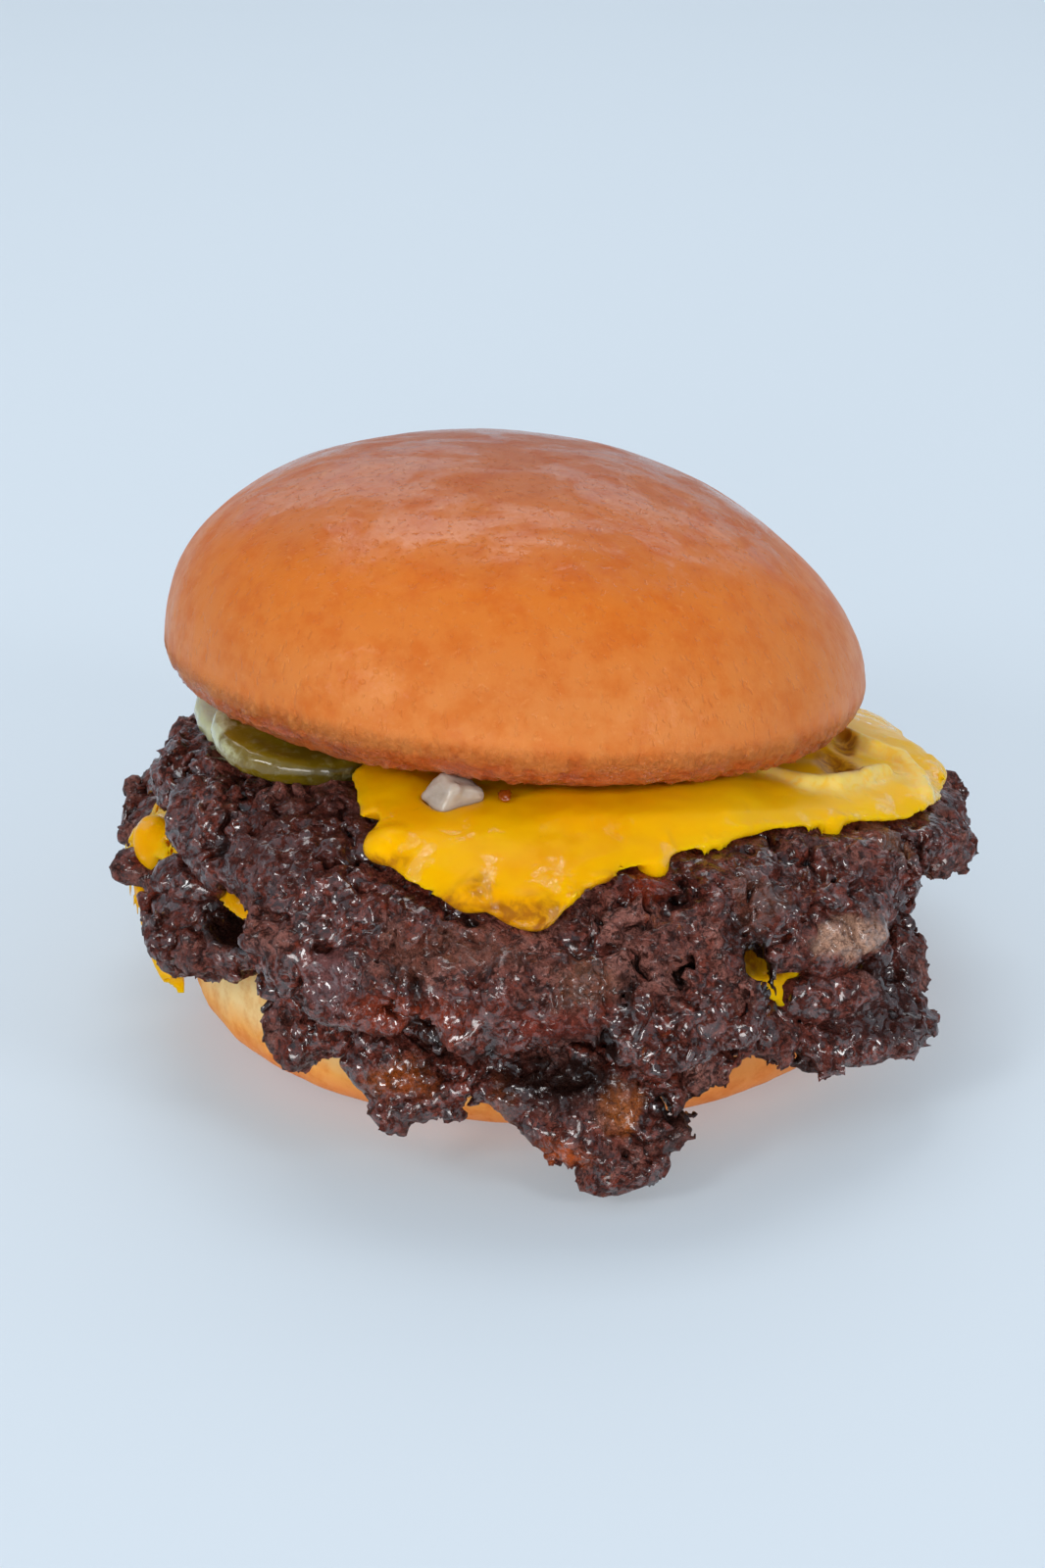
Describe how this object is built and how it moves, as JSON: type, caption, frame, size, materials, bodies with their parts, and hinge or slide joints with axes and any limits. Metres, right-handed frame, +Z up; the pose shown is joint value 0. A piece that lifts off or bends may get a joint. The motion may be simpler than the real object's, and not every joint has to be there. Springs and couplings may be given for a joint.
{
  "type": "cheeseburger",
  "caption": "Smash cheeseburger: round bun, ragged seared patties draped over the heel, melted cheese slices, pickle slices and diced onion under a leaning domed crown.",
  "frame": {"origin": "middle of the flat base of the bun's heel, on the surface that the burger stands on", "axes": "+Z up; -Y the front, where the patties and the cheese hang lowest; +X to the right"},
  "size_m": [0.127, 0.1335, 0.0841],
  "materials": {
    "crown_crust": "glossy egg-washed golden-brown crust, paler and finely wrinkled near the rim",
    "heel_crust": "pale baked crumb side, golden lower edge and toasted top edge",
    "patty_upper_crust": "dark, wet, craggy seared beef",
    "patty_lower_crust": "dark, wet, craggy seared beef",
    "cheese_upper": "smooth, glossy melted cheese",
    "cheese_lower": "smooth, glossy melted cheese",
    "pickle_front_flesh": "wet olive cucumber slice",
    "pickle_left_flesh": "wet pale green cucumber slice",
    "onion_flesh": "wet translucent white onion"
  },
  "bodies": {
    "root": {"heel": "heel_crust", "patty_lower": "patty_lower_crust", "cheese_lower": "cheese_lower", "patty_upper": "patty_upper_crust", "cheese_upper": "cheese_upper", "crown": "crown_crust", "pickle_front": "pickle_front_flesh", "pickle_left": "pickle_left_flesh", "onion": "onion_flesh"}
  },
  "joints": []
}
